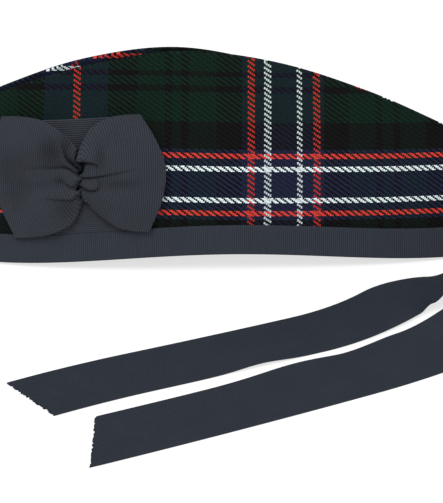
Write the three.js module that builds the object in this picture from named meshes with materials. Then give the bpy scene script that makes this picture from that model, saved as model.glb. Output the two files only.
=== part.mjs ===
// Tartan side cap with a folded crown, a ribbon rim band, a ribbon bow and two ribbon tails
// Millimetres. X runs from the front (minus) to the back (plus), Y to the wearer's right, Z up from the floor
import * as THREE from 'three';

// Cap sizes
const HALF_LENGTH = 138;
const HALF_WIDTH = 40;
const PLAN_POWER = 2.4;
const RIM_ARCH = 7.5;
const ARCH_REACH = 120;
const END_POWER = 14;
const SIDE_BULGE = 3;
const WALL = 2.1;
const GAP = 0.3;
const SEAM_HALF = 0.15;
const SEAM_FROM = 111;
const SEAM_RUN = 5;
const RIDGE_SHARE = 0.14;
const SIDE_COLUMNS = 44;
const SIDE_ROWS = 9;

// Crown line along the cap: ridge height, drop of the far ridge, half spread of the two ridges and
// the height at which each end starts to round over
const CROWN = [
  { x: -138, ridge: 45, farDrop: 0, spread: 2.4, endBase: 22 },
  { x: -122, ridge: 55.6, farDrop: 0, spread: 2.5, endBase: 22 },
  { x: -110, ridge: 61.4, farDrop: 0, spread: 4.0, endBase: 22 },
  { x: -95, ridge: 68.1, farDrop: 0, spread: 4.8, endBase: 22 },
  { x: -60, ridge: 79, farDrop: -0.6, spread: 5.2, endBase: 20 },
  { x: -20, ridge: 85.1, farDrop: 0.8, spread: 5.0, endBase: 20 },
  { x: 20, ridge: 80.1, farDrop: 3.6, spread: 4.7, endBase: 18 },
  { x: 60, ridge: 66.9, farDrop: 4.4, spread: 4.6, endBase: 19 },
  { x: 95, ridge: 50.7, farDrop: 3.5, spread: 4.4, endBase: 19 },
  { x: 110, ridge: 42.8, farDrop: 2.0, spread: 4.0, endBase: 19 },
  { x: 122, ridge: 35.8, farDrop: 0.6, spread: 2.5, endBase: 19 },
  { x: 138, ridge: 28, farDrop: 0, spread: 2.4, endBase: 19 },
];

// Folded crown strip
const GUSSET_WALL = 1.2;
const GUSSET_DEPTH = 22;
const GUSSET_END_DEPTH = 4;
const GUSSET_REACH = 109;
const GUSSET_COLUMNS = 36;
const GUSSET_ROWS = 10;

// Rim ribbon
const RIBBON = 1.0;
const OUTER_LEAF = 11.5;
const INNER_LEAF = 10;

// Bow
const BOW_X = -62;
const BOW_UP = 36.6;
const BACKING_HALF = 24;
const BACKING_TOP = 23.6;
const BACKING_FOOT = 23;
const LOOP_LIFT = 2.2;
const LOOP_PUFF = 5.2;
const LOOP_REST = 1.0;
const LOOP_INNER = 0.5;
const LOOP_CREASE = 0.55;
const PINCH_X = BOW_X + 1.5;
const PINCH_UP = BOW_UP + 1.4;

// Upper and lower edge of each loop, up and down from the bow's pinched middle, by distance out from it
const LOOP_HEIGHT = [
  { out: -2.2, frontTop: 7.4, frontFoot: 10.5, rearTop: 6.2, rearFoot: 10.4 },
  { out: 0, frontTop: 8.4, frontFoot: 13.6, rearTop: 10.4, rearFoot: 11.3 },
  { out: 2.4, frontTop: 11.4, frontFoot: 18.4, rearTop: 14.6, rearFoot: 12.5 },
  { out: 5, frontTop: 14.2, frontFoot: 21.4, rearTop: 17.8, rearFoot: 15.5 },
  { out: 10.5, frontTop: 18.8, frontFoot: 24, rearTop: 20.7, rearFoot: 20.4 },
  { out: 16, frontTop: 21.8, frontFoot: 25.5, rearTop: 22, rearFoot: 23.9 },
  { out: 26, frontTop: 23.5, frontFoot: 26.3, rearTop: 22.4, rearFoot: 26 },
  { out: 42, frontTop: 23.4, frontFoot: 26.4, rearTop: 22.4, rearFoot: 26.2 },
];

// How far each loop reaches out, from its lower edge (minus one) to its upper edge (one)
const LOOP_REACH = [
  { level: -1, front: 28.5, rear: 28 },
  { level: -0.5, front: 34.5, rear: 33.5 },
  { level: 0, front: 38, rear: 35 },
  { level: 0.5, front: 37.5, rear: 31.5 },
  { level: 1, front: 33.5, rear: 25 },
];

// Tails: each row is one bend of the ribbon from the root to the free end
const TAIL_WIDTH = 30;
const TAIL_ROOT = 15;
const TAIL_GATHER = 24;
const TAIL_START = 139.8;
const TAIL_CUT_REACH = 25;
const TAIL_NEAR = {
  side: 1.3,
  cut: -13.3,
  rows: [
    { run: 11, turn: 0, roll: 90 },
    { run: 90.6, turn: -152.4, roll: 90 },
    { run: 110.4, turn: 3.5, roll: 4.8 },
    { run: 30, turn: -5.4, roll: 0 },
    { run: 105, turn: -2.5, roll: 0 },
  ],
};
const TAIL_FAR = {
  side: -1.3,
  cut: 5.5,
  rows: [
    { run: 10, turn: 0, roll: -90 },
    { run: 100.5, turn: -183.4, roll: -90 },
    { run: 36.2, turn: -1.6, roll: -87.9 },
    { run: 37.9, turn: 28.3, roll: -7 },
    { run: 12.2, turn: 22.8, roll: -2.2 },
    { run: 43.7, turn: -21.8, roll: 0 },
    { run: 69.9, turn: -1.8, roll: 0 },
    { run: 44.5, turn: 6.3, roll: 0 },
  ],
};
const TAIL_COLUMNS = 56;
const TAIL_ROWS = 2;

// Looks
const TARTAN_GREEN = 0x172921;
const TARTAN_NAVY = 0x1b1c26;
const RIBBON_GREY = 0x34383f;
const TAIL_GREY = 0x2a2f37;

// Smooth value of one column of a table at a place on its key column
function along(table, key, at, column) {
  const last = table.length - 1;
  let i = 0;
  while (i < last - 1 && at > table[i + 1][key]) {
    i += 1;
  }
  const slope = (k) => {
    const a = table[Math.max(k - 1, 0)];
    const b = table[Math.min(k + 1, last)];
    return (b[column] - a[column]) / (b[key] - a[key]);
  };
  const from = table[i];
  const to = table[i + 1];
  const span = to[key] - from[key];
  const t = Math.min(Math.max((at - from[key]) / span, 0), 1);
  const rise = t * t * (3 - 2 * t);
  const lead = t * (1 - t) * (1 - t) * slope(i);
  const tail = t * t * (t - 1) * slope(i + 1);
  return from[column] + (to[column] - from[column]) * rise + span * (lead + tail);
}

// Closed thin solid between two grids of points, i along and j across, or a ring when closed is set
function sheetSolid(columns, rows, outer, inner, closed = false) {
  const lines = closed ? columns : columns + 1;
  const points = [];
  for (const face of [outer, inner]) {
    for (let i = 0; i < lines; i += 1) {
      for (let j = 0; j <= rows; j += 1) {
        points.push(face(i / columns, j / rows));
      }
    }
  }
  const at = (face, i, j) => (face * lines + (i % lines)) * (rows + 1) + j;
  const index = [];
  const quad = (a, b, c, d) => index.push(a, b, c, a, c, d);
  for (let i = 0; i < columns; i += 1) {
    for (let j = 0; j < rows; j += 1) {
      quad(at(0, i, j), at(0, i + 1, j), at(0, i + 1, j + 1), at(0, i, j + 1));
      quad(at(1, i, j), at(1, i, j + 1), at(1, i + 1, j + 1), at(1, i + 1, j));
    }
    quad(at(0, i, 0), at(1, i, 0), at(1, i + 1, 0), at(0, i + 1, 0));
    quad(at(0, i, rows), at(0, i + 1, rows), at(1, i + 1, rows), at(1, i, rows));
  }
  for (let j = 0; j < rows && !closed; j += 1) {
    quad(at(0, 0, j), at(0, 0, j + 1), at(1, 0, j + 1), at(1, 0, j));
    quad(at(0, columns, j), at(1, columns, j), at(1, columns, j + 1), at(0, columns, j + 1));
  }
  return outward(points, index);
}

// Geometry with its faces turned outwards
function outward(points, index) {
  let volume = 0;
  const cross = new THREE.Vector3();
  for (let k = 0; k < index.length; k += 3) {
    cross.crossVectors(points[index[k + 1]], points[index[k + 2]]);
    volume += points[index[k]].dot(cross);
  }
  for (let k = 0; k < index.length && volume < 0; k += 3) {
    const swap = index[k + 1];
    index[k + 1] = index[k + 2];
    index[k + 2] = swap;
  }
  const geometry = new THREE.BufferGeometry().setFromPoints(points);
  geometry.setIndex(index);
  geometry.computeVertexNormals();
  return geometry;
}

// Plan half width of the rim
function rimHalf(x) {
  return HALF_WIDTH * Math.sqrt(Math.max(0, 1 - Math.abs(x / HALF_LENGTH) ** PLAN_POWER));
}

// Height of the rim's lower edge, arched up along the sides and flat on the floor at both ends
function rimHeight(x) {
  const reach = Math.min(Math.abs(x) / ARCH_REACH, 1);
  return RIM_ARCH * Math.cos((reach * Math.PI) / 2) ** 2;
}

// How far the crown has rounded over towards the two ends: one along the cap, zero at each tip
function endRound(x) {
  return Math.sqrt(Math.max(0, 1 - Math.abs(x / HALF_LENGTH) ** END_POWER));
}

// Height of the ridge on one side, side is minus one for the wearer's left
function ridgeHeight(x, side) {
  const base = along(CROWN, 'x', x, 'endBase');
  const drop = side > 0 ? along(CROWN, 'x', x, 'farDrop') : 0;
  return base + (along(CROWN, 'x', x, 'ridge') - drop - base) * endRound(x);
}

// Half distance between the outer faces of the two ridges
function ridgeHalf(x) {
  return along(CROWN, 'x', x, 'spread') * endRound(x);
}

// Thickness of a side at its ridge, where the two sides are sewn together past the ends of the crown strip
function ridgeWall(x) {
  const past = Math.min(Math.max((Math.abs(x) - SEAM_FROM) / SEAM_RUN, 0), 1);
  return WALL + Math.max(ridgeHalf(x) - SEAM_HALF - WALL, 0) * past;
}

// Even steps around the plan give fine steps at the tips
function stationX(u) {
  return HALF_LENGTH * Math.sin((Math.PI / 2) * u);
}

// Distance of a side's outer face from the middle plane, up is 0 at the rim and 1 at the ridge
function sideOut(x, up) {
  const flat = rimHalf(x) * (1 - up) + ridgeHalf(x) * up;
  return flat + SIDE_BULGE * 4 * up * (1 - up) * (1 - (x / HALF_LENGTH) ** 2);
}

// Outward direction of a side in plan
function sideNormal(u, up, side) {
  const step = 0.004;
  if (Math.abs(u) > 1 - step) {
    return new THREE.Vector2(Math.sign(u), 0);
  }
  const a = stationX(u - step);
  const b = stationX(u + step);
  const tangent = new THREE.Vector2(b - a, sideOut(b, up) - sideOut(a, up));
  return new THREE.Vector2(-tangent.y, side * tangent.x).normalize();
}

// Point on a side's outer face, moved out level by an offset
function sidePoint(u, up, side, offset) {
  const x = stationX(u);
  const normal = sideNormal(u, up, side);
  const low = rimHeight(x);
  return new THREE.Vector3(
    x + normal.x * offset,
    side * sideOut(x, up) + normal.y * offset,
    low + (ridgeHeight(x, side) - low) * up,
  );
}

// Share of the way up a side at a height above the rim's lower edge
function upAt(x, side, height) {
  return height / (ridgeHeight(x, side) - rimHeight(x));
}

// Keeps a point of a side clear of the middle plane, where the two sides are sewn together
function clearOfSeam(point, side) {
  const y = Math.max(side * point.y, SEAM_HALF);
  return new THREE.Vector3(point.x, side * y, point.z);
}

// One tartan side, from the fold of the rim band up to its ridge
function sidePanel(side) {
  const face = (deep) => (i, j) => {
    const u = 2 * i - 1;
    const x = stationX(u);
    const foot = upAt(x, side, RIBBON + GAP);
    const nearRidge = Math.max(1 - (1 - j) / RIDGE_SHARE, 0);
    const wall = WALL + (ridgeWall(x) - WALL) * nearRidge;
    return clearOfSeam(sidePoint(u, foot + (1 - foot) * j, side, -wall * deep), side);
  };
  return sheetSolid(SIDE_COLUMNS, SIDE_ROWS, face(0), face(1));
}

// Crown strip folded down between the two ridges
function crownGusset() {
  const face = (inset) => (i, j) => {
    const x = (2 * i - 1) * GUSSET_REACH;
    const across = 2 * j - 1;
    const side = across < 0 ? -1 : 1;
    const level = Math.abs(across);
    const half = ridgeHalf(x) - WALL - GAP - inset;
    const low = Math.min(ridgeHeight(x, -1), ridgeHeight(x, 1));
    const depth = GUSSET_END_DEPTH + (GUSSET_DEPTH - GUSSET_END_DEPTH) * (1 - (x / GUSSET_REACH) ** 2);
    const valley = low - depth + inset;
    const y = side * half * (1 - (1 - level) ** 2);
    return new THREE.Vector3(x, y, valley + (ridgeHeight(x, side) - valley) * level ** 2);
  };
  return sheetSolid(GUSSET_COLUMNS, GUSSET_ROWS, face(0), face(GUSSET_WALL));
}

// Rim ribbon folded over the lower edge all the way round
function rimBand() {
  const outside = GAP + RIBBON;
  const inside = -WALL - GAP - RIBBON;
  const outerPath = [
    { height: OUTER_LEAF, offset: outside },
    { height: OUTER_LEAF / 2, offset: outside },
    { height: 0, offset: outside },
    { height: 0, offset: inside },
    { height: INNER_LEAF / 2, offset: inside },
    { height: INNER_LEAF, offset: inside },
  ];
  const innerPath = [
    { height: OUTER_LEAF, offset: GAP },
    { height: OUTER_LEAF / 2, offset: GAP },
    { height: RIBBON, offset: GAP },
    { height: RIBBON, offset: -WALL - GAP },
    { height: INNER_LEAF / 2, offset: -WALL - GAP },
    { height: INNER_LEAF, offset: -WALL - GAP },
  ];
  const last = outerPath.length - 1;
  const face = (path) => (i, j) => {
    const turn = 4 * i;
    const side = turn < 2 ? -1 : 1;
    const u = turn < 2 ? turn - 1 : 3 - turn;
    const row = path[Math.round(j * last)];
    return sidePoint(u, upAt(stationX(u), side, row.height), side, row.offset);
  };
  return sheetSolid(2 * SIDE_COLUMNS, last, face(outerPath), face(innerPath), true);
}

// Point over the wearer's left side by place along the cap, distance up the slope and lift off the cloth
function overSide(x, slope, lift) {
  const step = 0.5;
  const place = (px, ps) => {
    const u = (2 / Math.PI) * Math.asin(px / HALF_LENGTH);
    const rise = ridgeHeight(px, -1) - rimHeight(px);
    const lean = rimHalf(px) - ridgeHalf(px);
    return sidePoint(u, ps / Math.hypot(rise, lean), -1, 0);
  };
  const here = place(x, slope);
  const alongX = place(x + step, slope).sub(here);
  const upSlope = place(x, slope + step).sub(here);
  return here.addScaledVector(alongX.cross(upSlope).normalize(), lift);
}

// Upright ribbon lying on the side behind the bow
function bowBacking() {
  const face = (lift) => (i, j) => {
    const x = BOW_X + (2 * i - 1) * BACKING_HALF;
    const slope = BOW_UP - BACKING_FOOT + (BACKING_TOP + BACKING_FOOT) * j;
    return overSide(x, slope, lift);
  };
  return sheetSolid(8, 8, face(GAP), face(GAP + RIBBON));
}

// One bow loop: ribbon pinched at the middle, out along the back, round the outer fold and back in front
function bowLoop(side, column) {
  const face = (inset) => (i, j) => {
    const angle = (i - 0.5) * Math.PI * 0.96;
    const level = 2 * j - 1;
    const reach = along(LOOP_REACH, 'level', level, column) - inset * 1.3;
    const out = LOOP_INNER + (reach - LOOP_INNER) * Math.cos(angle) ** 1.2;
    const share = out / reach;
    const crease = LOOP_CREASE * Math.exp(-((level / 0.3) ** 2)) * (1 - share);
    const hollow = (0.5 + 0.5 * Math.sin(Math.PI * share ** 0.8)) * (1 - crease);
    const puff = angle > 0 ? LOOP_PUFF * hollow : LOOP_REST;
    const depth = (puff - inset * RIBBON * 0.9) * Math.sin(angle);
    const edge = level > 0 ? `${column}Top` : `${column}Foot`;
    const up = level * along(LOOP_HEIGHT, 'out', out, edge);
    return overSide(PINCH_X + side * out, PINCH_UP + up, LOOP_LIFT + LOOP_REST + depth);
  };
  return sheetSolid(24, 12, face(0), face(1));
}

// Turn and roll of a tail at every step from its root to its free end
function tailStations(tail) {
  const stations = [];
  const total = tail.rows.reduce((sum, row) => sum + row.run, 0);
  const step = total / TAIL_COLUMNS;
  const fine = 20;
  let heading = 0;
  let x = TAIL_START;
  let y = tail.side;
  let row = 0;
  let rowStart = 0;
  let rollFrom = tail.rows[0].roll;
  for (let k = 0; k <= TAIL_COLUMNS * fine; k += 1) {
    const gone = (k * step) / fine;
    while (row < tail.rows.length - 1 && gone > rowStart + tail.rows[row].run) {
      rowStart += tail.rows[row].run;
      rollFrom = tail.rows[row].roll;
      row += 1;
    }
    const share = Math.min((gone - rowStart) / tail.rows[row].run, 1);
    const roll = rollFrom + (tail.rows[row].roll - rollFrom) * share * share * (3 - 2 * share);
    if (k % fine === 0) {
      stations.push({ x, y, heading, roll: (roll * Math.PI) / 180, gone, left: total - gone });
    }
    heading += ((tail.rows[row].turn / tail.rows[row].run) * step * Math.PI) / (fine * 180);
    x += (Math.cos(heading) * step) / fine;
    y += (Math.sin(heading) * step) / fine;
  }
  return stations;
}

// One ribbon tail, standing on its edge at the root and lying flat at its free end
function ribbonTail(tail) {
  const stations = tailStations(tail);
  const face = (lift) => (i, j) => {
    const at = stations[Math.round(i * TAIL_COLUMNS)];
    const gather = Math.min(at.gone / TAIL_GATHER, 1);
    const width = TAIL_ROOT + (TAIL_WIDTH - TAIL_ROOT) * gather * gather * (3 - 2 * gather);
    const across = (j - 0.5) * width;
    const trim = tail.cut * Math.max(0, 1 - at.left / TAIL_CUT_REACH) * (j - 0.5);
    const run = new THREE.Vector3(Math.cos(at.heading), Math.sin(at.heading), 0);
    const level = new THREE.Vector3(run.y, -run.x, 0);
    const sin = Math.sin(at.roll);
    const cos = Math.cos(at.roll);
    const height = (width / 2) * Math.abs(sin) + (RIBBON / 2) * Math.abs(cos);
    const point = new THREE.Vector3(at.x, at.y, height);
    point.addScaledVector(run, trim);
    point.addScaledVector(level, across * cos - lift * sin);
    point.z += across * sin + lift * cos;
    return point;
  };
  return sheetSolid(TAIL_COLUMNS, TAIL_ROWS, face(RIBBON / 2), face(-RIBBON / 2));
}

// One named piece
function piece(name, geometry, color) {
  const material = new THREE.MeshStandardMaterial({ color, roughness: 0.9, metalness: 0 });
  const mesh = new THREE.Mesh(geometry, material);
  mesh.name = name;
  return mesh;
}

const group = new THREE.Group();
group.name = 'tartan_cap';
group.add(piece('side_panel_left', sidePanel(-1), TARTAN_GREEN));
group.add(piece('side_panel_right', sidePanel(1), TARTAN_GREEN));
group.add(piece('crown_gusset', crownGusset(), TARTAN_NAVY));
group.add(piece('rim_band', rimBand(), RIBBON_GREY));
group.add(piece('bow_backing', bowBacking(), RIBBON_GREY));
group.add(piece('bow_loop_front', bowLoop(-1, 'front'), RIBBON_GREY));
group.add(piece('bow_loop_rear', bowLoop(1, 'rear'), RIBBON_GREY));
group.add(piece('tail_near', ribbonTail(TAIL_NEAR), TAIL_GREY));
group.add(piece('tail_far', ribbonTail(TAIL_FAR), TAIL_GREY));

export default group;
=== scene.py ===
import math

import bmesh
import bpy
import numpy as np
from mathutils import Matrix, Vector


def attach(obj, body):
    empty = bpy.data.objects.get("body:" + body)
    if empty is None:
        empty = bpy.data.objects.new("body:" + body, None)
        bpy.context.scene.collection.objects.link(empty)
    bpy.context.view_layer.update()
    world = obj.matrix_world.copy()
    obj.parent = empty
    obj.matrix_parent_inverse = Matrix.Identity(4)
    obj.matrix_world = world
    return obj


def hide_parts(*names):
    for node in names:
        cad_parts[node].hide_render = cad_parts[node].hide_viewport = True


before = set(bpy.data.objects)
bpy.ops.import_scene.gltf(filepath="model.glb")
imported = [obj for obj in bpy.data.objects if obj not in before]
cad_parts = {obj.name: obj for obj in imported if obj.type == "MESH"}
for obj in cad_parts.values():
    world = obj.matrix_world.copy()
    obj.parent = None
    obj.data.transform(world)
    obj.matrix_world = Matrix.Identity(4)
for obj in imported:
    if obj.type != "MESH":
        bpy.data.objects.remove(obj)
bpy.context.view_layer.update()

# Shapes below are in millimetres, as in the part's source, and go into Blender in metres
MM = 0.001

# Cap sizes
HALF_LENGTH = 138.0
HALF_WIDTH = 40.0
PLAN_POWER = 2.4
RIM_ARCH = 7.5
ARCH_REACH = 120.0
END_POWER = 14
SIDE_BULGE = 3.0
WALL = 2.1
GAP = 0.3
SIDE_COLUMNS = 220
SIDE_ROWS = 60
EDGE_STEPS = 4
PLAN_STEP = 0.004
SLOPE_STEP = 0.5

# Ridges of the sides: thin along the crown strip, and drawn together into a seam past its ends
RIDGE_WALL = 0.8
RIDGE_THIN = 0.86
RIDGE_FADE = 15.0
SEAM_HALF = 0.02
SEAM_FROM = 109.6
SEAM_RUN = 2.5

# Crown line along the cap: ridge height, drop of the far ridge, half spread of the two ridges and
# the height at which each end starts to round over
CROWN = [
    dict(x=-138, ridge=45, far_drop=0, spread=2.4, end_base=22),
    dict(x=-122, ridge=55.6, far_drop=0, spread=2.5, end_base=22),
    dict(x=-110, ridge=61.4, far_drop=0, spread=4.0, end_base=22),
    dict(x=-95, ridge=68.1, far_drop=0, spread=4.8, end_base=22),
    dict(x=-60, ridge=79, far_drop=-0.6, spread=5.2, end_base=20),
    dict(x=-20, ridge=85.1, far_drop=0.8, spread=5.0, end_base=20),
    dict(x=20, ridge=80.1, far_drop=3.6, spread=4.7, end_base=18),
    dict(x=60, ridge=66.9, far_drop=4.4, spread=4.6, end_base=19),
    dict(x=95, ridge=50.7, far_drop=3.5, spread=4.4, end_base=19),
    dict(x=110, ridge=42.8, far_drop=2.0, spread=4.0, end_base=19),
    dict(x=122, ridge=35.8, far_drop=0.6, spread=2.5, end_base=19),
    dict(x=138, ridge=28, far_drop=0, spread=2.4, end_base=19),
]

# Folded crown strip
GUSSET_WALL = 1.2
GUSSET_GAP = 0.04
GUSSET_DEPTH = 22.0
GUSSET_END_DEPTH = 4.0
GUSSET_REACH = 109.0
GUSSET_COLUMNS = 180
GUSSET_ROWS = 44

# Stripes along the crown strip run off at a slant: the sett's place at its edge, along the cap
GUSSET_STRIPE = [
    dict(x=-138, place=-12.0),
    dict(x=-76, place=5.5),
    dict(x=-64, place=9.2),
    dict(x=-56.5, place=10.9),
    dict(x=-30, place=15.2),
    dict(x=20, place=20.0),
    dict(x=138, place=26.0),
]

# Rim ribbon
RIBBON = 1.0
OUTER_LEAF = 11.5
INNER_LEAF = 10.0
BAND_FOLD_STEPS = 9
BAND_LEAF_STEPS = 14
BAND_FOLD_POWER = 0.5

# Bow
BOW_X = -62.0
BOW_UP = 36.6
BACKING_HALF = 24.0
BACKING_TOP = 23.6
BACKING_FOOT = 23.5
BACKING_STEPS = 60
PINCH_X = BOW_X + 1.5
PINCH_UP = BOW_UP + 1.4

# Bow loops: each is a turn of ribbon from its back leaf to its front leaf
LOOP_LIFT = 2.2
LOOP_PUFF = 5.2
LOOP_REST = 1.0
LOOP_INNER = 0.5
LOOP_BACK_TURN = -0.48
LOOP_FRONT_TURN = 0.5
LOOP_ROUND_POWER = 1.2
LOOP_HOLLOW_POWER = 0.8
LOOP_CLOTH = 0.8
LOOP_LEAST = 0.2
LOOP_LEAST_CLOTH = 0.6
LOOP_FACE_POWER = 0.5
LOOP_BACK_COLUMNS = 40
LOOP_FRONT_COLUMNS = 170
LOOP_ROWS = 140

# Upper and lower edge of each loop, up and down from the bow's pinched middle, by distance out from it
LOOP_HEIGHT = [
    dict(out=-2.2, front_top=7.4, front_foot=10.5, rear_top=6.2, rear_foot=10.4),
    dict(out=0.0, front_top=8.4, front_foot=13.6, rear_top=10.4, rear_foot=11.3),
    dict(out=2.4, front_top=11.4, front_foot=18.4, rear_top=14.6, rear_foot=12.5),
    dict(out=5.0, front_top=14.2, front_foot=21.4, rear_top=17.8, rear_foot=15.5),
    dict(out=10.5, front_top=18.8, front_foot=24.0, rear_top=20.7, rear_foot=20.4),
    dict(out=16.0, front_top=21.8, front_foot=25.5, rear_top=22.0, rear_foot=23.9),
    dict(out=26.0, front_top=23.5, front_foot=26.3, rear_top=22.4, rear_foot=26.0),
    dict(out=42.0, front_top=23.4, front_foot=26.4, rear_top=22.4, rear_foot=26.2),
]

# How far each loop reaches out, from its lower edge (minus one) to its upper edge (one)
LOOP_REACH = [
    dict(level=-1, front=28.5, rear=28.0),
    dict(level=-0.5, front=34.5, rear=33.5),
    dict(level=0, front=38.0, rear=35.0),
    dict(level=0.5, front=37.5, rear=31.5),
    dict(level=1, front=33.5, rear=25.0),
]

# Inner ends of the two loops' front leaves, out from the middle of the bow: the loops are pinched
# there into rounded tongues that lie past each other
LOOP_ENDS = [
    dict(level=-1.0, front=0.4, rear=0.6),
    dict(level=-0.85, front=-0.3, rear=-0.3),
    dict(level=-0.71, front=0.6, rear=-0.9),
    dict(level=-0.63, front=0.0, rear=-1.1),
    dict(level=-0.54, front=-0.4, rear=-1.2),
    dict(level=-0.46, front=0.6, rear=-1.2),
    dict(level=-0.39, front=1.8, rear=-1.0),
    dict(level=-0.34, front=1.2, rear=-0.8),
    dict(level=-0.25, front=-0.4, rear=-0.3),
    dict(level=-0.17, front=-1.6, rear=-0.4),
    dict(level=-0.09, front=0.0, rear=-0.9),
    dict(level=0.0, front=1.2, rear=0.7),
    dict(level=0.08, front=0.6, rear=1.1),
    dict(level=0.2, front=0.0, rear=1.4),
    dict(level=0.32, front=-0.1, rear=1.4),
    dict(level=0.4, front=0.4, rear=0.0),
    dict(level=0.46, front=1.4, rear=-2.9),
    dict(level=0.6, front=1.8, rear=-2.6),
    dict(level=0.8, front=1.4, rear=-1.8),
    dict(level=1.0, front=1.0, rear=-1.2),
]

# Folds in the front of the loops, along and up from the middle of the bow. The cloth to the left of
# the way a path runs lies over the cloth to its right: its rise and how far from the edge that peaks,
# the dip beside it and how wide that is, and the fold's strength at the two ends of the path
# with the power that holds it up between them
# The sharp part of each fold's dip is also painted into the ribbon's colour as shade
LOOP_FOLDS = [
    dict(loop=-1,
         path=[(-1.4, -0.7), (-3.7, 1.1), (-6.6, 2.1), (-10.2, 2.2), (-16.4, 2.3), (-26.2, 1.8)],
         rise=1.3, peak=1.8, dip=1.9, width=1.6, start=1.0, end=0.0, hold=2),
    dict(loop=-1, path=[(-0.3, 0.6), (-2.7, 2.7), (-5.5, 5.3), (-6.8, 8.6), (-7.6, 12.7)],
         rise=1.4, peak=1.1, dip=2.8, width=1.4, start=1.0, end=0.0, hold=2),
    dict(loop=-1, path=[(-8.2, -1.8), (-5.0, -4.6), (-2.7, -5.3), (0.2, -2.7)],
         rise=1.0, peak=1.4, dip=1.8, width=0.9, start=0.0, end=1.0, hold=0.7),
    dict(loop=-1, path=[(-16.4, -9.3), (-9.3, -10.5), (-3.6, -10.9), (-1.4, -9.0)],
         rise=0.9, peak=1.0, dip=1.2, width=1.1, start=0.0, end=1.0, hold=0.6),
    dict(loop=1, path=[(-2.7, 4.6), (2.1, 4.3), (6.3, 3.4), (8.6, 1.2)],
         rise=0.8, peak=1.4, dip=2.0, width=1.4, start=1.0, end=0.0, hold=2),
    dict(loop=1, path=[(-0.8, -1.6), (4.8, -1.9), (11.9, -1.3), (19.0, -0.4), (24.6, 0.7)],
         rise=0.4, peak=1.2, dip=1.6, width=0.9, start=1.0, end=0.0, hold=1.5),
    dict(loop=1, path=[(-0.3, -5.1), (3.0, -7.0), (6.6, -7.3), (7.8, -5.5), (7.4, -2.9)],
         rise=1.0, peak=1.4, dip=1.5, width=1.0, start=1.0, end=0.2, hold=2),
]

# A fold's dip is partly sharp and partly broad
FOLD_STEPS = 12
FOLD_SHARP = 0.6
FOLD_BROAD = 0.4
FOLD_BROAD_REACH = 4

# Shallow hollows in the loops beside the folds: their middle, reach along and up, depth, and the shade
# painted into the ribbon's colour there
LOOP_HOLLOWS = [
    dict(loop=-1, a=-11.8, b=8.0, along=4.5, up=5.2, depth=2.2, shade=1.6),
    dict(loop=-1, a=-5.2, b=12.5, along=2.4, up=4.0, depth=0.6, shade=1.5),
    dict(loop=-1, a=-31.0, b=2.5, along=13.0, up=8.0, depth=1.3, shade=1.1),
    dict(loop=-1, a=-28.0, b=-9.0, along=5.5, up=6.0, depth=0.8, shade=0.9),
    dict(loop=-1, a=-18.0, b=-5.3, along=9.0, up=2.2, depth=0.9, shade=0.3),
    dict(loop=-1, a=-8.4, b=-3.0, along=2.2, up=1.8, depth=0.5, shade=1.2),
    dict(loop=-1, a=-5.5, b=-15.0, along=4.5, up=4.5, depth=1.1, shade=1.2),
    dict(loop=1, a=8.6, b=5.5, along=2.2, up=5.0, depth=1.3, shade=0.9),
    dict(loop=1, a=17.0, b=-6.0, along=7.5, up=2.0, depth=0.9, shade=1.1),
]

# Fan of the ribs out from the pinch, press on the lower edges, and droop of the inner tips
LOOP_FAN = 0.45
LOOP_PRESS = 0.7
LOOP_PRESS_FROM = -0.45
LOOP_TIP = 1.2
LOOP_TIP_DROP = 2.2

# Tails: the slanted cut, one lifted place on an edge, the fray's seed, and a row for each bend
TAIL_WIDTH = 30.0
TAIL_CLOTH = 0.8
TAIL_ROOT = 15.0
TAIL_GATHER = 24.0
TAIL_START = 139.8
TAIL_CUT_REACH = 25.0
TAIL_COLUMNS = 420
TAIL_ROWS = 64
TAIL_FINE = 4
FRAY_REACH = 2.5
FRAY_DEPTH = 0.7
FRAY_RANGE = (-1, 0.5)
TAIL_NEAR = dict(
    side=1.3,
    cut=-13.3,
    wave=dict(from_end=88, edge=1, lift=1.8, width=20),
    seed=4,
    rows=[
        dict(run=11, turn=0, roll=90),
        dict(run=90.6, turn=-152.4, roll=90),
        dict(run=110.4, turn=3.5, roll=4.8),
        dict(run=30, turn=-5.4, roll=0),
        dict(run=105, turn=-2.5, roll=0),
    ],
)
TAIL_FAR = dict(
    side=-1.3,
    cut=5.5,
    wave=dict(from_end=87, edge=-1, lift=1.3, width=12),
    seed=9,
    rows=[
        dict(run=10, turn=0, roll=-90),
        dict(run=100.5, turn=-183.4, roll=-90),
        dict(run=36.2, turn=-1.6, roll=-87.9),
        dict(run=37.9, turn=28.3, roll=-7),
        dict(run=12.2, turn=22.8, roll=-2.2),
        dict(run=43.7, turn=-21.8, roll=0),
        dict(run=69.9, turn=-1.8, roll=0),
        dict(run=44.5, turn=6.3, roll=0),
    ],
)

# Tartan: thread spacing, the place of each sett's middle, and half of each sett in threads from there
WARP_PITCH = 0.777
WEFT_PITCH = 0.546
CLOTH_LEAN = math.radians(25)
CLOTH_SHEAR = 0.018
CLOTH_FAN = 0.00018
WARP_MIDDLE = 23.23
WEFT_MIDDLE = 35.6
WARP_FLOAT = 1.7
WARP_TONE = 0.62
WARP_LEAD = -0.25
WEFT_LEAD = 0.5
TWILL_REPEAT = 4.0
WARP_SETT = [
    ("navy", 7), ("white", 3.5), ("navy", 5), ("red", 4), ("navy", 3), ("black", 14), ("green", 15),
    ("black", 4), ("green", 5), ("black", 4), ("green", 15), ("black", 15.5), ("navy", 16), ("red", 2),
]
WEFT_SETT = [
    ("navy", 10), ("white", 4), ("navy", 6), ("red", 4), ("navy", 3), ("black", 21), ("green", 23),
    ("black", 5), ("green", 6), ("black", 5), ("green", 22), ("black", 20), ("navy", 20), ("red", 3),
]

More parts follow.
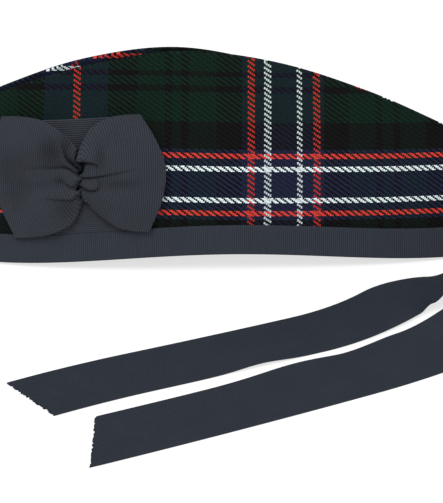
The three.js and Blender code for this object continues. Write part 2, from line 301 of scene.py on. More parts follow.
# How far the lines along the cap rise towards its two ends
CLOTH_RISE = [
    dict(x=-138, rise=5.2),
    dict(x=-103, rise=3.4),
    dict(x=-28, rise=1.13),
    dict(x=8, rise=0.05),
    dict(x=43, rise=-0.15),
    dict(x=68, rise=0.0),
    dict(x=96, rise=0.92),
    dict(x=138, rise=2.8),
]

# Colours of the dyed wool
YARN = dict(
    navy=(0.0150, 0.0185, 0.0440),
    white=(0.72, 0.82, 0.84),
    red=(0.60, 0.050, 0.040),
    black=(0.0071, 0.0065, 0.0068),
    green=(0.0059, 0.0183, 0.0120),
)

# Unevenness of the wool: thread wander, loose strands and fuzz, each a noise with its scale and depth
WANDER = dict(scale=0.35, depth=0.5)
STRAND = dict(scale=1.3, depth=0.9)
FUZZ = dict(scale=1.7, detail=5.0, depth=0.7, base=0.65)
# Painted shade across each round thread: lighter along its middle, darker at its edges
THREAD_PAINTED_SHADE = 0.85
THREAD_PAINTED_BASE = 0.36
WOOL = dict(rough=0.92, specular=0.05, bump=0.0003, strength=0.6)

# Ribbon: its ribs, the shade painted into its colour in its folds and hollows, the unevenness of its
# weave, and the colour of each piece with the shade painted between its ribs
RIB_PITCH = 0.86
RIB_MEAN = 0.63
FOLD_SHADE = 0.3
GRAIN = dict(scale=1.9, detail=4.0, depth=0.3, base=0.85)
DRIFT = dict(scale=0.08, detail=2.0, depth=0.24, base=0.88)
SILK = dict(rough=0.7, specular=0.12, bump=0.00035, strength=0.9)
# Colour of each ribbon piece, and how strong the shade painted between its ribs is
BAND_LOOK = dict(colour=(0.027, 0.032, 0.043), rib_shade=0.22)
BOW_LOOK = dict(colour=(0.028, 0.031, 0.041), rib_shade=0.36)
TAIL_LOOK = dict(colour=(0.0205, 0.0262, 0.0370), rib_shade=0.3)

# Camera and light
PHOTO_HEIGHT = 503
FOCAL_PIXELS = 1600.0
SENSOR_MM = 36.0
VIEW_AZIMUTH = math.radians(1.7)
VIEW_ELEVATION = math.radians(25)
CAMERA_PLACE = (-0.02078, -0.64928, 0.29302)
SURROUND = 0.72
LAMP_AIM = (0, -0.05, 0.03)
LAMPS = [
    dict(name="key_lamp", place=(-0.5, -0.8, 1.5), size=0.9, power=17.0),
    dict(name="fill_lamp", place=(0.9, -0.7, 0.9), size=1.0, power=4.5),
]

# Floor: pale paper that glows, so that shadows on it stay faint
FLOOR_REACH = 4.0
FLOOR_GREY = 0.3
FLOOR_GLOW = 0.7
FLOOR_ROUGH = 0.9
FLOOR_SPECK = dict(scale=9.0, depth=0.01)


def along(table, key, at, column):
    """Smooth value of one column of a table at places on its key column."""
    knots = np.array([row[key] for row in table], float)
    values = np.array([row[column] for row in table], float)
    order = np.arange(len(knots))
    before = np.maximum(order - 1, 0)
    after = np.minimum(order + 1, len(knots) - 1)
    slopes = (values[after] - values[before]) / (knots[after] - knots[before])
    i = np.clip(np.searchsorted(knots, at) - 1, 0, len(knots) - 2)
    span = knots[i + 1] - knots[i]
    t = np.clip((at - knots[i]) / span, 0, 1)
    rise = t * t * (3 - 2 * t)
    lead = t * (1 - t) ** 2 * slopes[i]
    tail = t * t * (t - 1) * slopes[i + 1]
    return values[i] + (values[i + 1] - values[i]) * rise + span * (lead + tail)


def unit(vectors):
    """Vectors scaled to length one."""
    return vectors / np.maximum(np.linalg.norm(vectors, axis=-1, keepdims=True), 1e-9)


def rim_half(x):
    """Plan half width of the rim."""
    return HALF_WIDTH * np.sqrt(np.clip(1 - np.abs(x / HALF_LENGTH) ** PLAN_POWER, 0, 1))


def rim_height(x):
    """Height of the rim's lower edge, arched up along the sides and flat at both ends."""
    reach = np.minimum(np.abs(x) / ARCH_REACH, 1)
    return RIM_ARCH * np.cos(reach * math.pi / 2) ** 2


def end_round(x):
    """How far the crown has rounded over towards the two ends."""
    return np.sqrt(np.clip(1 - np.abs(x / HALF_LENGTH) ** END_POWER, 0, 1))


def ridge_height(x, side):
    """Height of the ridge on one side, side is minus one for the wearer's left."""
    base = along(CROWN, "x", x, "end_base")
    drop = np.where(side > 0, along(CROWN, "x", x, "far_drop"), 0)
    return base + (along(CROWN, "x", x, "ridge") - drop - base) * end_round(x)


def ridge_half(x):
    """Half distance between the outer faces of the two ridges."""
    return along(CROWN, "x", x, "spread") * end_round(x)


def ridge_wall(x):
    """Thickness of a side at its ridge: thin along the crown strip, full past its ends."""
    thin = np.clip((GUSSET_REACH - np.abs(x)) / RIDGE_FADE, 0, 1)
    return WALL - (WALL - RIDGE_WALL) * thin


def seam_share(x):
    """How far the two ridges are drawn together: none along the crown strip, one past its ends."""
    return np.clip((np.abs(x) - SEAM_FROM) / SEAM_RUN, 0, 1)


def station_x(u):
    """Place along the cap: even steps around the plan give fine steps at the tips."""
    return HALF_LENGTH * np.sin(math.pi / 2 * u)


def side_out(x, up):
    """Distance of a side's outer face from the middle plane."""
    flat = rim_half(x) * (1 - up) + ridge_half(x) * up
    return flat + SIDE_BULGE * 4 * up * (1 - up) * (1 - (x / HALF_LENGTH) ** 2)


def side_points(u, up, side, offset):
    """Points on a side's outer face, moved out level by an offset."""
    u, up, side, offset = np.broadcast_arrays(u, up, side, offset)
    inner = np.clip(u, PLAN_STEP - 1, 1 - PLAN_STEP)
    ahead = station_x(inner + PLAN_STEP)
    behind = station_x(inner - PLAN_STEP)
    slope = side_out(ahead, up) - side_out(behind, up)
    normal = unit(np.stack([-slope, side * (ahead - behind)], -1))
    tip = np.abs(u) > 1 - PLAN_STEP
    normal = np.where(tip[..., None], np.stack([np.sign(u), 0 * u], -1), normal)
    x = station_x(u)
    low = rim_height(x)
    return np.stack([
        x + normal[..., 0] * offset,
        side * side_out(x, up) + normal[..., 1] * offset,
        low + (ridge_height(x, side) - low) * up,
    ], -1)


def up_at(x, side, height):
    """Share of the way up a side at a height above the rim's lower edge."""
    return height / (ridge_height(x, side) - rim_height(x))


def over_side(x, slope, lift):
    """Points over the wearer's left side by place along it, distance up the slope and lift."""
    def place(px, ps):
        rise = ridge_height(px, -1) - rim_height(px)
        lean = rim_half(px) - ridge_half(px)
        u = 2 / math.pi * np.arcsin(px / HALF_LENGTH)
        return side_points(u, ps / np.hypot(rise, lean), -1, 0)
    x, slope, lift = np.broadcast_arrays(x, slope, lift)
    here = place(x, slope)
    ahead = place(x + SLOPE_STEP, slope) - here
    above = place(x, slope + SLOPE_STEP) - here
    normal = unit(np.cross(ahead, above))
    return here + normal * lift[..., None]


def mesh_piece(name, points, faces, face_uv, shade):
    """Object from points in millimetres, with its cloth coordinates and the shade painted into the
    colour of its folds.
    """
    mesh = bpy.data.meshes.new(name)
    mesh.from_pydata((np.asarray(points) * MM).tolist(), [], faces)
    layer = mesh.uv_layers.new(name="cloth")
    layer.uv.foreach_set("vector", np.asarray(face_uv, np.float32).ravel())
    mesh.attributes.new("fold_shade", "FLOAT", "POINT").data.foreach_set("value", shade.ravel())
    work = bmesh.new()
    work.from_mesh(mesh)
    bmesh.ops.recalc_face_normals(work, faces=work.faces)
    work.to_mesh(mesh)
    work.free()
    mesh.polygons.foreach_set("use_smooth", [True] * len(mesh.polygons))
    piece = bpy.data.objects.new(name, mesh)
    bpy.context.collection.objects.link(piece)
    return piece


def edge_bend(mid, half, towards):
    """Rows of points that round a cloth's edge from its outer to its inner face."""
    radius = np.linalg.norm(half, axis=-1, keepdims=True)
    angles = np.linspace(0, math.pi, EDGE_STEPS + 1)[1:-1]
    rows = [mid + half * math.cos(a) + towards * radius * math.sin(a) for a in angles]
    return np.stack(rows, 1)


def cloth_piece(name, outer, inner, uv, closed=False, shade=None):
    """Closed cloth between two grids of points, rounded along its two long edges."""
    mid = (outer + inner) / 2
    half = (outer - inner) / 2
    top = edge_bend(mid[:, -1], half[:, -1], unit(mid[:, -1] - mid[:, -2]))
    foot = edge_bend(mid[:, 0], -half[:, 0], unit(mid[:, 0] - mid[:, 1]))
    ring = np.concatenate([outer, top, inner[:, ::-1], foot], 1)
    top_uv = np.repeat(uv[:, -1:], EDGE_STEPS - 1, 1)
    foot_uv = np.repeat(uv[:, :1], EDGE_STEPS - 1, 1)
    ring_uv = np.concatenate([uv, top_uv, uv[:, ::-1], foot_uv], 1)
    columns, count = ring.shape[:2]
    ring_shade = np.zeros((columns, count), np.float32)
    if shade is not None:
        ring_shade[:, :outer.shape[1]] = shade
    faces = []
    face_uv = []
    for i in range(columns if closed else columns - 1):
        following = (i + 1) % columns
        for k in range(count):
            beside = (k + 1) % count
            faces.append((i * count + k, following * count + k,
                          following * count + beside, i * count + beside))
            face_uv += [ring_uv[i, k], ring_uv[i + 1, k], ring_uv[i + 1, beside], ring_uv[i, beside]]
    if not closed:
        for i in (0, columns - 1):
            for loop in end_loops(outer.shape[1], count):
                faces.append(tuple(i * count + k for k in loop))
                face_uv += [ring_uv[i, k] for k in loop]
    piece = mesh_piece(name, ring.reshape(-1, 3), faces, face_uv, ring_shade)
    return piece, flat_cut(mid, closed)


def flat_cut(mid, closed):
    """Width, length and area of the flat cloth that a grid of points was cut from, in metres."""
    grid = np.concatenate([mid, mid[:1]]) if closed else mid
    width = np.linalg.norm(np.diff(grid, axis=1), axis=-1).sum(1).max()
    length = np.linalg.norm(np.diff(grid, axis=0), axis=-1).sum(0).max()
    across = grid[1:, 1:] - grid[:-1, :-1]
    other = grid[1:, :-1] - grid[:-1, 1:]
    area = np.linalg.norm(np.cross(across, other), axis=-1).sum() / 2
    return dict(flat=(width * MM, length * MM), area=min(area, width * length) * MM * MM)


def end_loops(rows, count):
    """Faces that close one cut end of a cloth: its thickness, and its two rounded edges."""
    across = rows + EDGE_STEPS - 1
    loops = [(j, j + 1, across + rows - 2 - j, across + rows - 1 - j) for j in range(rows - 1)]
    loops.append(tuple(range(rows - 1, across + 1)))
    loops.append(tuple(range(across + rows - 1, count)) + (0,))
    return loops


def planar_uv(points, side):
    """Cloth coordinates of a side: along the cap, and up its leaning face."""
    inward = HALF_WIDTH - side * points[..., 1]
    up = inward * math.sin(CLOTH_LEAN) + points[..., 2] * math.cos(CLOTH_LEAN)
    level = points[:, points.shape[1] // 2, :2]
    steps = np.linalg.norm(np.diff(level, axis=0), axis=1)
    gone = np.concatenate([[0], np.cumsum(steps)])
    middle = np.interp(0, level[:, 0], gone)
    shear = CLOTH_SHEAR - CLOTH_FAN * points[..., 0]
    run = (gone - middle)[:, None] - shear * (up - WEFT_MIDDLE)
    return np.stack([run, up - along(CLOTH_RISE, "x", points[..., 0], "rise")], -1)


def clear_of_seam(points, side):
    """Keeps a side's points clear of the middle plane, where the two sides are sewn together."""
    points[..., 1] = side * np.maximum(side * points[..., 1], SEAM_HALF)
    return points


def make_side(name, side):
    """One tartan side, from the fold of the rim band up to its rounded ridge."""
    u = np.linspace(-1, 1, SIDE_COLUMNS + 1)[:, None]
    x = station_x(u)
    foot = up_at(x, side, RIBBON + GAP + WALL / 2)
    round_over = np.where(seam_share(x) > 0, np.maximum(ridge_half(x), WALL), ridge_wall(x)) / 2
    head = 1 - up_at(x, side, round_over)
    share = np.linspace(0, 1, SIDE_ROWS + 1)[None, :]
    up = foot + (head - foot) * share
    thin = np.clip((share - RIDGE_THIN) / (1 - RIDGE_THIN), 0, 1)
    wall = WALL - (WALL - ridge_wall(x)) * thin
    outer = clear_of_seam(side_points(u, up, side, 0), side)
    inner = clear_of_seam(side_points(u, up, side, -wall), side)
    inner[..., 1] += (side * SEAM_HALF - inner[..., 1]) * seam_share(x) * thin
    return cloth_piece(name, outer, inner, planar_uv(outer, side))


def make_gusset(name):
    """Crown strip folded down between the two ridges."""
    x = np.linspace(-GUSSET_REACH, GUSSET_REACH, GUSSET_COLUMNS + 1)[:, None]
    across = np.linspace(-1, 1, GUSSET_ROWS + 1)[None, :]
    side = np.where(across < 0, -1, 1)
    level = np.abs(across)
    low = np.minimum(ridge_height(x, -1), ridge_height(x, 1))
    deepen = 1 - (x / GUSSET_REACH) ** 2
    depth = GUSSET_END_DEPTH + (GUSSET_DEPTH - GUSSET_END_DEPTH) * deepen
    faces = []
    for inset in (0, GUSSET_WALL):
        half = ridge_half(x) - ridge_wall(x) - GUSSET_GAP - inset
        valley = low - depth + inset
        y = side * half * (1 - (1 - level) ** 2)
        z = valley + (ridge_height(x, side) - GUSSET_WALL / 2 - valley) * level ** 2
        faces.append(np.stack(np.broadcast_arrays(x, y, z), -1))
    down = depth * (1 - level ** 2)
    down = np.where(across < 0, 2 * depth - down, down)
    stripe = WEFT_MIDDLE + along(GUSSET_STRIPE, "x", x, "place")
    uv = np.stack(np.broadcast_arrays(x + 0 * across, stripe - down), -1)
    return cloth_piece(name, faces[1], faces[0], uv)


def make_band(name):
    """Rim ribbon folded over the lower edge all the way round."""
    outside = GAP + RIBBON
    inside = -WALL - GAP - RIBBON
    fold = np.linspace(0, math.pi, BAND_FOLD_STEPS)
    middle = (outside + inside) / 2
    reach = (outside - inside) / 2
    leaf = np.linspace(1, 0, BAND_LEAF_STEPS)[:-1]
    outer = [(RIBBON + (OUTER_LEAF - RIBBON) * s, outside) for s in leaf]
    outer += [(RIBBON * (1 - abs(math.sin(a)) ** BAND_FOLD_POWER), middle + reach * math.cos(a))
              for a in fold]
    outer += [(RIBBON + (INNER_LEAF - RIBBON) * s, inside) for s in leaf[::-1]]
    inner = [(RIBBON + (OUTER_LEAF - RIBBON) * s, GAP) for s in leaf]
    inner += [(RIBBON, middle + (reach - RIBBON) * math.cos(a)) for a in fold]
    inner += [(RIBBON + (INNER_LEAF - RIBBON) * s, -WALL - GAP) for s in leaf[::-1]]
    turn = np.linspace(0, 4, 2 * SIDE_COLUMNS + 1)[:-1]
    side = np.where(turn < 2, -1, 1)[:, None]
    u = np.where(turn < 2, turn - 1, 3 - turn)[:, None]
    grids = []
    for path in (outer, inner):
        height = np.array([row[0] for row in path])[None, :]
        offset = np.array([row[1] for row in path])[None, :]
        grids.append(side_points(u, up_at(station_x(u), side, height), side, offset))
    rim = grids[0][:, len(leaf)]
    steps = np.linalg.norm(np.diff(np.concatenate([rim, rim[:1]]), axis=0), axis=1)
    gone = np.concatenate([[0], np.cumsum(steps)])
    wrap = np.round(gone[-1] / RIB_PITCH) * RIB_PITCH / gone[-1]
    down = np.concatenate([[0], np.cumsum(np.linalg.norm(np.diff(grids[0][0], axis=0), axis=1))])
    uv = np.stack(np.broadcast_arrays((gone * wrap)[:, None], down[None, :]), -1)
    return cloth_piece(name, grids[0], grids[1], uv, closed=True)


def make_backing(name):
    """Upright ribbon lying on the side behind the bow, its ribs running level."""
    x = np.linspace(-BACKING_HALF, BACKING_HALF, BACKING_STEPS)[:, None]
    up = np.linspace(-BACKING_FOOT, BACKING_TOP, BACKING_STEPS)[None, :]
    outer = over_side(BOW_X + x, BOW_UP + up, GAP + RIBBON)
    inner = over_side(BOW_X + x, BOW_UP + up, GAP)
    uv = np.stack(np.broadcast_arrays(up, x), -1)
    return cloth_piece(name, outer, inner, uv)


def smooth_path(path):
    """Close points along a smooth curve through a short path."""
    rows = [dict(at=k, a=place[0], b=place[1]) for k, place in enumerate(path)]
    at = np.linspace(0, len(path) - 1, FOLD_STEPS * (len(path) - 1) + 1)
    return along(rows, "at", at, "a"), along(rows, "at", at, "b")


def fold_relief(a, b, fold):
    """Height that one fold adds at places on the bow, and the shade painted into the colour along its
    dip, as deep as its sharp dip there.
    """
    path_a, path_b = smooth_path(fold["path"])
    gaps = np.hypot(a[..., None] - path_a, b[..., None] - path_b)
    nearest = gaps.argmin(-1)
    gap = gaps.min(-1)
    way_a = np.gradient(path_a)[nearest]
    way_b = np.gradient(path_b)[nearest]
    over = way_a * (b - path_b[nearest]) - way_b * (a - path_a[nearest]) > 0
    share = nearest / (len(path_a) - 1)
    strength = fold["start"] + (fold["end"] - fold["start"]) * share ** fold["hold"]
    far = gap / fold["peak"]
    rise = strength * fold["rise"] * far * np.exp(1 - far)
    sharp = strength * fold["dip"] * np.exp(-gap / fold["width"])
    broad = strength * fold["dip"] * np.exp(-gap / fold["width"] / FOLD_BROAD_REACH)
    dip = FOLD_SHARP * sharp + FOLD_BROAD * broad
    return np.where(over, rise, -dip), np.where(over, 0, sharp)


def loop_relief(a, b, side):
    """Height of all the folds and hollows in the front of one loop, and the shade painted into the
    ribbon's colour there.
    """
    height = np.zeros(a.shape)
    shade = np.zeros(a.shape)
    for fold in LOOP_FOLDS:
        if fold["loop"] == side:
            more_height, more_shade = fold_relief(a, b, fold)
            height += more_height
            shade += more_shade
    for hollow in LOOP_HOLLOWS:
        if hollow["loop"] == side:
            far_along = (a - hollow["a"]) / hollow["along"]
            far_up = (b - hollow["b"]) / hollow["up"]
            near = np.exp(-far_along ** 2 - far_up ** 2)
            height -= hollow["depth"] * near
            shade += hollow["shade"] * near
    return height, shade


def make_loop(name, side, column):
    """One bow loop: out along the back, round the outer fold and back in front with its folds."""
    back = np.linspace(LOOP_BACK_TURN, 0, LOOP_BACK_COLUMNS, endpoint=False)
    front = np.linspace(0, LOOP_FRONT_TURN, LOOP_FRONT_COLUMNS + 1)
    angle = np.concatenate([back, front])[:, None] * math.pi
    level = np.linspace(-1, 1, LOOP_ROWS + 1)[None, :]
    grids = []
    for inset in (0.0, RIBBON):
        reach = along(LOOP_REACH, "level", level, column) - inset
        end = np.where(angle > 0, along(LOOP_ENDS, "level", level, column), LOOP_INNER)
        out = end + (reach - end) * np.maximum(np.cos(angle), 0) ** LOOP_ROUND_POWER
        share = np.maximum(out, 0) / reach
        a = side * out
        top = along(LOOP_HEIGHT, "out", out, column + "_top")
        foot = along(LOOP_HEIGHT, "out", out, column + "_foot")
        b = level * np.where(level > 0, top, foot)
        hollow = (1 + np.sin(math.pi * share ** LOOP_HOLLOW_POWER)) / 2
        press = np.clip((LOOP_PRESS_FROM - level) / (1 + LOOP_PRESS_FROM), 0, 1)
        hollow = hollow * (1 - LOOP_PRESS * press ** 2)
        puff = np.where(angle > 0, LOOP_PUFF * hollow, LOOP_REST)
        depth = (puff - inset * LOOP_CLOTH) * np.sin(angle)
        relief, shade = loop_relief(a, b, side)
        facing = np.clip(np.sin(angle), 0, 1) ** LOOP_FACE_POWER
        tip = 1 - np.clip((out - end) / LOOP_TIP, 0, 1)
        droop = LOOP_TIP_DROP * (1 - np.sqrt(1 - tip * tip))
        depth = depth + facing * (relief - droop)
        depth = np.where(angle > 0, np.maximum(depth, LOOP_LEAST - inset * LOOP_LEAST_CLOTH), depth)
        grids.append(over_side(PINCH_X + a, PINCH_UP + b, LOOP_LIFT + LOOP_REST + depth))
        # Painted shade of the folds and hollows, kept on the outer face for the ribbon's colour
        if inset == 0:
            fold_shade = facing * shade
    bowed = np.hypot(out, LOOP_FAN * b)
    run = np.where(angle > 0, bowed, 2 * reach - out)
    uv = np.stack(np.broadcast_arrays(run, level * TAIL_WIDTH), -1)
    return cloth_piece(name, grids[0], grids[1], uv, shade=fold_shade)


def tail_stations(tail):
    """Place, heading and roll of a tail at every step from its root to its free end."""
    total = sum(row["run"] for row in tail["rows"])
    step = total / (TAIL_COLUMNS * TAIL_FINE)
    heading = 0.0
    x = TAIL_START
    y = tail["side"]
    row = 0
    row_start = 0.0
    roll_from = tail["rows"][0]["roll"]
    stations = []
    for k in range(TAIL_COLUMNS * TAIL_FINE + 1):
        gone = k * step
        while row < len(tail["rows"]) - 1 and gone > row_start + tail["rows"][row]["run"]:
            row_start += tail["rows"][row]["run"]
            roll_from = tail["rows"][row]["roll"]
            row += 1
        now = tail["rows"][row]
        share = min((gone - row_start) / now["run"], 1)
        roll = roll_from + (now["roll"] - roll_from) * share * share * (3 - 2 * share)
        if k % TAIL_FINE == 0:
            stations.append((x, y, heading, math.radians(roll), gone))
        heading += math.radians(now["turn"] / now["run"] * step)
        x += math.cos(heading) * step
        y += math.sin(heading) * step
    return np.array(stations), total


def make_tail(name, tail):
    """One ribbon tail, standing on its edge at the root and lying flat at its free end."""
    stations, total = tail_stations(tail)
    x, y, heading, roll, gone = [column[:, None] for column in stations.T]
    share = np.linspace(-0.5, 0.5, TAIL_ROWS + 1)[None, :] * (1 - TAIL_CLOTH / TAIL_WIDTH)
    gather = np.minimum(gone / TAIL_GATHER, 1)
    width = TAIL_ROOT + (TAIL_WIDTH - TAIL_ROOT) * gather ** 2 * (3 - 2 * gather)
    left = total - gone
    trim = tail["cut"] * np.clip(1 - left / TAIL_CUT_REACH, 0, 1) * share
    ragged = np.random.default_rng(tail["seed"]).uniform(*FRAY_RANGE, TAIL_ROWS + 1)[None, :]
    trim = trim + FRAY_DEPTH * ragged * np.clip(1 - left / FRAY_REACH, 0, 1)
    wave = tail["wave"]
    beside = np.clip(0.5 + wave["edge"] * share, 0, 1)
    ripple = wave["lift"] * beside ** 2 * np.exp(-((left - wave["from_end"]) / wave["width"]) ** 2)
    grids = []
    sin = np.sin(roll)
    cos = np.cos(roll)
    run_x = np.cos(heading)
    run_y = np.sin(heading)
    rest = width / 2 * np.abs(sin) + TAIL_CLOTH / 2
    for lift in (TAIL_CLOTH / 2, -TAIL_CLOTH / 2):
        level = share * width * cos - lift * sin
        grids.append(np.stack(np.broadcast_arrays(
            x + run_x * trim + run_y * level,
            y + run_y * trim - run_x * level,
            rest + share * width * sin + lift * cos + ripple,
        ), -1))
    uv = np.stack(np.broadcast_arrays(gone + trim, share * width), -1)
    piece, cut = cloth_piece(name, grids[0], grids[1], uv)
    cut["flat"] = (TAIL_WIDTH * MM, (total + abs(tail["cut"]) / 2) * MM)
    return piece, cut


class Nodes:
    """Short way to write a material's node tree."""

    def __init__(self, name):
        self.material = bpy.data.materials.new(name)
        self.material.use_nodes = True
        self.tree = self.material.node_tree
        self.shader = self.tree.nodes["Principled BSDF"]

    def add(self, kind, **settings):
        node = self.tree.nodes.new("ShaderNode" + kind)
        for key, value in settings.items():
            setattr(node, key, value)
        return node

    def feed(self, socket, value):
        if isinstance(value, bpy.types.NodeSocket):
            self.tree.links.new(value, socket)
        else:
            socket.default_value = value

    def math(self, operation, *values):
        node = self.add("Math", operation=operation)
        for socket, value in zip(node.inputs, values):
            self.feed(socket, value)
        return node.outputs[0]

    def mix(self, factor, first, second, blend="MIX"):
        node = self.add("Mix", data_type="RGBA", blend_type=blend)
        self.feed(node.inputs[0], factor)
        self.feed(node.inputs[6], first)
        self.feed(node.inputs[7], second)
        return node.outputs[2]

    def noise(self, vector, scale, detail=3.0):
        node = self.add("TexNoise")
        self.feed(node.inputs["Vector"], vector)
        node.inputs["Scale"].default_value = scale
        node.inputs["Detail"].default_value = detail
        return node.outputs["Fac"]

    def scaled(self, value, times, plus):
        return self.math("ADD", self.math("MULTIPLY", value, times), plus)

    def centred_noise(self, vector, scale, depth):
        return self.math("MULTIPLY", self.math("SUBTRACT", self.noise(vector, scale), 0.5), depth)

    def uneven(self, vector, scale, detail, depth, base):
        return self.scaled(self.noise(vector, scale, detail), depth, base)

    def grey(self, value):
        node = self.add("CombineXYZ")
        for socket in node.inputs:
            self.feed(socket, value)
        return node.outputs[0]

    def surface(self, height, rough, specular, bump, strength):
        self.shader.inputs["Roughness"].default_value = rough
        self.shader.inputs["Specular IOR Level"].default_value = specular
        self.bump(height, bump, strength)

    def cloth(self):
        uv = self.add("UVMap", uv_map="cloth")
        split = self.add("SeparateXYZ")
        self.feed(split.inputs[0], uv.outputs[0])
        return uv.outputs[0], split.outputs[0], split.outputs[1]

    def bump(self, height, distance, strength):
        node = self.add("Bump")
        node.inputs["Distance"].default_value = distance
        node.inputs["Strength"].default_value = strength
        self.feed(node.inputs["Height"], height)
        self.feed(self.shader.inputs["Normal"], node.outputs[0])


def sett_ramp(nodes, place, sett):
    """Colour of the thread at a distance from the middle of a sett."""
    total = sum(width for _, width in sett)
    folded = nodes.math("PINGPONG", place, total)
    ramp = nodes.add("ValToRGB")
    ramp.color_ramp.interpolation = "CONSTANT"
    elements = ramp.color_ramp.elements
    elements.remove(elements[1])
    gone = 0.0
    for k, (yarn, width) in enumerate(sett):
        element = elements[0] if k == 0 else elements.new(gone / total)
        element.color = (*YARN[yarn], 1)
        gone += width
    nodes.feed(ramp.inputs[0], nodes.math("DIVIDE", folded, total))
    return ramp.outputs[0]


def thread_place(nodes, place, middle, pitch, wander):
    """Place in threads from the middle of a sett."""
    from_middle = nodes.math("SUBTRACT", place, middle)
    return nodes.math("ADD", nodes.math("DIVIDE", from_middle, pitch), wander)


def thread_round(nodes, place):
    """Height of a round thread across its width."""
    return nodes.math("SINE", nodes.math("MULTIPLY", nodes.math("FRACT", place), math.pi))


def tartan_material(name):
    """Two over, two under twill of dyed wool, in the stripes of the sett, with painted shade across
    each round thread.
    """
    nodes = Nodes(name)
    place, along_cloth, up_cloth = nodes.cloth()
    strand = nodes.centred_noise(place, **STRAND)
    wander = nodes.math("ADD", nodes.centred_noise(place, **WANDER), strand)
    warp_at = thread_place(nodes, along_cloth, WARP_MIDDLE, WARP_PITCH, wander)
    weft_at = thread_place(nodes, up_cloth, WEFT_MIDDLE, WEFT_PITCH, wander)
    warp = nodes.math("FLOOR", warp_at)
    weft = nodes.math("FLOOR", weft_at)
    warp_colour = sett_ramp(nodes, nodes.math("ADD", warp, WARP_LEAD), WARP_SETT)
    weft_colour = sett_ramp(nodes, nodes.math("ADD", weft, WEFT_LEAD), WEFT_SETT)
    turn = nodes.math("FLOORED_MODULO", nodes.math("ADD", warp, weft_at), TWILL_REPEAT)
    warp_up = nodes.math("LESS_THAN", turn, WARP_FLOAT)
    warp_colour = nodes.mix(1.0, warp_colour, (WARP_TONE, WARP_TONE, WARP_TONE, 1), "MULTIPLY")
    colour = nodes.mix(warp_up, weft_colour, warp_colour)
    height = nodes.add("Mix", data_type="FLOAT")
    nodes.feed(height.inputs[0], warp_up)
    nodes.feed(height.inputs[2], thread_round(nodes, weft_at))
    nodes.feed(height.inputs[3], thread_round(nodes, warp_at))
    # Painted shade of the round threads, darker where each dips beside its neighbours, times the fuzz
    shade = nodes.scaled(height.outputs[0], THREAD_PAINTED_SHADE, THREAD_PAINTED_BASE)
    shade = nodes.math("MULTIPLY", shade, nodes.uneven(place, **FUZZ))
    colour = nodes.mix(1.0, colour, nodes.grey(shade), "MULTIPLY")
    nodes.feed(nodes.shader.inputs["Base Color"], colour)
    nodes.surface(height.outputs[0], **WOOL)
    return nodes.material


def ribbon_material(name, colour, rib_shade):
    """Grosgrain ribbon: round ribs across its width with painted shade between them, painted shade in
    its folds and hollows, and a faint unevenness along it.
    """
    nodes = Nodes(name)
    place, along_ribbon, _ = nodes.cloth()
    rib_at = nodes.math("MULTIPLY", along_ribbon, math.pi / RIB_PITCH)
    rib = nodes.math("ABSOLUTE", nodes.math("SINE", rib_at))
    # Painted shade between the ribs: lighter along each rib's crest, darker in the grooves between
    # ribs
    shade = nodes.scaled(rib, rib_shade, 1.0 - RIB_MEAN * rib_shade)
    shade = nodes.math("MULTIPLY", shade, nodes.uneven(place, **GRAIN))
    shade = nodes.math("MULTIPLY", shade, nodes.uneven(place, **DRIFT))
    # Painted shade: the ribbon's colour is darkened in its folds and hollows by the fold_shade
    # attribute
    fold = nodes.add("Attribute", attribute_name="fold_shade").outputs["Fac"]
    darker = nodes.math("EXPONENT", nodes.math("MULTIPLY", fold, -FOLD_SHADE))
    shade = nodes.math("MULTIPLY", shade, darker)
    shaded = nodes.mix(1.0, (*colour, 1), nodes.grey(shade), "MULTIPLY")
    nodes.feed(nodes.shader.inputs["Base Color"], shaded)
    nodes.surface(rib, **SILK)
    return nodes.material


def floor_material():
    """Plain pale paper with a glow of its own."""
    nodes = Nodes("pale_floor")
    place = nodes.add("NewGeometry").outputs[0]
    speck = nodes.noise(place, FLOOR_SPECK["scale"])
    grey = nodes.grey(nodes.scaled(speck, FLOOR_SPECK["depth"], FLOOR_GREY))
    nodes.feed(nodes.shader.inputs["Base Color"], grey)
    nodes.shader.inputs["Roughness"].default_value = FLOOR_ROUGH
    nodes.shader.inputs["Emission Color"].default_value = (1, 1, 1, 1)
    nodes.shader.inputs["Emission Strength"].default_value = FLOOR_GLOW
    return nodes.material


def make_floor():
    """Floor that the cap stands on."""
    mesh = bpy.data.meshes.new("floor")
    signs = [(-1, -1), (1, -1), (1, 1), (-1, 1)]
    corners = [(x * FLOOR_REACH, y * FLOOR_REACH, 0) for x, y in signs]
    mesh.from_pydata(corners, [], [(0, 1, 2, 3)])
    floor = bpy.data.objects.new("floor", mesh)
    bpy.context.collection.objects.link(floor)
    mesh.materials.append(floor_material())


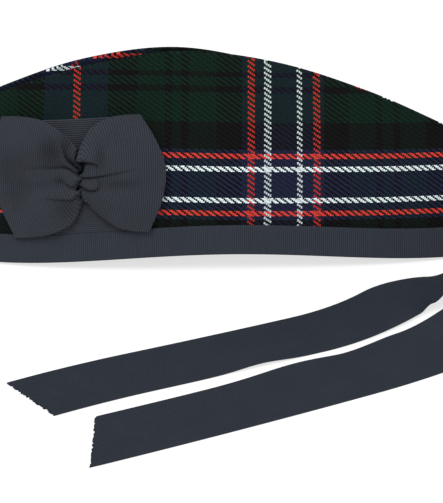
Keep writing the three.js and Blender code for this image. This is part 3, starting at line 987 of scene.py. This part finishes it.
def make_camera():
    """Camera at the photograph's angle."""
    data = bpy.data.cameras.new("camera")
    data.sensor_width = SENSOR_MM
    data.lens = FOCAL_PIXELS / PHOTO_HEIGHT * SENSOR_MM
    camera = bpy.data.objects.new("camera", data)
    level = math.cos(VIEW_ELEVATION)
    across = math.sin(VIEW_AZIMUTH) * level
    away = math.cos(VIEW_AZIMUTH) * level
    ahead = Vector((across, away, -math.sin(VIEW_ELEVATION)))
    camera.location = CAMERA_PLACE
    camera.rotation_euler = ahead.to_track_quat("-Z", "Y").to_euler()
    bpy.context.collection.objects.link(camera)
    bpy.context.scene.camera = camera


def make_lamp(name, place, size, power):
    """Soft square lamp aimed at the cap."""
    data = bpy.data.lights.new(name, "AREA")
    data.size = size
    data.energy = power
    lamp = bpy.data.objects.new(name, data)
    lamp.location = place
    ahead = Vector(LAMP_AIM) - Vector(place)
    lamp.rotation_euler = ahead.to_track_quat("-Z", "Y").to_euler()
    bpy.context.collection.objects.link(lamp)


def make_light():
    """Soft studio light: a pale surround, a large lamp on the left and a weaker one on the right."""
    world = bpy.data.worlds.new("studio")
    world.use_nodes = True
    world.node_tree.nodes["Background"].inputs[0].default_value = (1, 1, 1, 1)
    world.node_tree.nodes["Background"].inputs[1].default_value = SURROUND
    bpy.context.scene.world = world
    bpy.context.scene.view_settings.view_transform = "Standard"
    for lamp in LAMPS:
        make_lamp(**lamp)


def dress(made, node, material):
    """Gives a cloth its material and puts it in place of its solid."""
    piece, cut = made
    piece.data.materials.append(material)
    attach(piece, "root")
    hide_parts(node)
    return piece


make_camera()
make_floor()
make_light()

tartan = tartan_material("tartan")
band_ribbon = ribbon_material("band_grosgrain", **BAND_LOOK)
bow_ribbon = ribbon_material("bow_grosgrain", **BOW_LOOK)
tail_ribbon = ribbon_material("tail_grosgrain", **TAIL_LOOK)

band = dress(make_band("rim_ribbon"), "rim_band", band_ribbon)
left = dress(make_side("tartan_side_left", -1), "side_panel_left", tartan)
right = dress(make_side("tartan_side_right", 1), "side_panel_right", tartan)
dress(make_gusset("crown_strip"), "crown_gusset", tartan)
back = dress(make_backing("bow_back_ribbon"), "bow_backing", bow_ribbon)
dress(make_loop("bow_loop_left", -1, "front"), "bow_loop_front", bow_ribbon)
dress(make_loop("bow_loop_right", 1, "rear"), "bow_loop_rear", bow_ribbon)
dress(make_tail("ribbon_tail_near", TAIL_NEAR), "tail_near", tail_ribbon)
dress(make_tail("ribbon_tail_far", TAIL_FAR), "tail_far", tail_ribbon)
